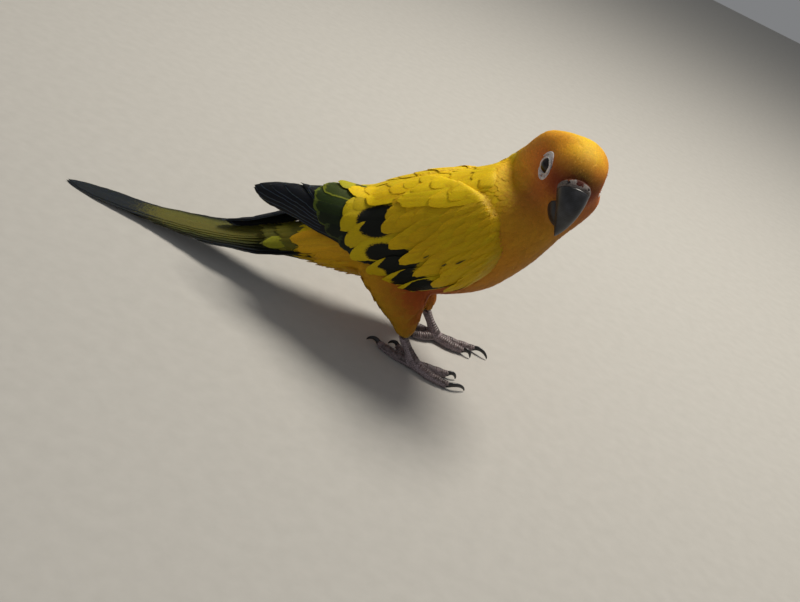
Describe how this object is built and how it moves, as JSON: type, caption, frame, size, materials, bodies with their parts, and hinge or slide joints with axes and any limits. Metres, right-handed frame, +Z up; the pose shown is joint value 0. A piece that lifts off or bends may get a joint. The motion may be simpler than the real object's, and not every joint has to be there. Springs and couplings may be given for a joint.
{
  "type": "sun conure",
  "caption": "Life-size still model of a sun conure standing on both feet, head turned to its right, wings folded and the long tail's tip resting on the floor.",
  "frame": {"origin": "middle of the model's footprint box, at floor level", "axes": "+X the way the body faces, +Y the bird's left, +Z up"},
  "size_m": [0.243, 0.064, 0.1407],
  "materials": {
    "body_feathers": "soft matt contour feathers",
    "wing_feathers": "smooth overlapping vanes",
    "tail_feathers": "smooth overlapping vanes",
    "bare_skin": "fine matt skin",
    "leg_skin": "dry scaly skin",
    "bill": "satin horn",
    "claw": "satin horn",
    "eye": "wet gloss"
  },
  "bodies": {
    "root": {"torso": "body_feathers", "neck": "body_feathers", "head": "body_feathers", "cere": "bare_skin", "bill_upper": "bill", "bill_lower": "bill", "eye_right": "eye", "eye_left": "eye", "wing_right": "wing_feathers", "wing_left": "wing_feathers", "tail": "tail_feathers", "thigh_right": "body_feathers", "thigh_left": "body_feathers", "foot_right": "leg_skin", "foot_left": "leg_skin", "claw_right_outer_front": "claw", "claw_right_inner_front": "claw", "claw_right_outer_hind": "claw", "claw_right_inner_hind": "claw", "claw_left_outer_front": "claw", "claw_left_inner_front": "claw", "claw_left_outer_hind": "claw", "claw_left_inner_hind": "claw"}
  },
  "joints": []
}
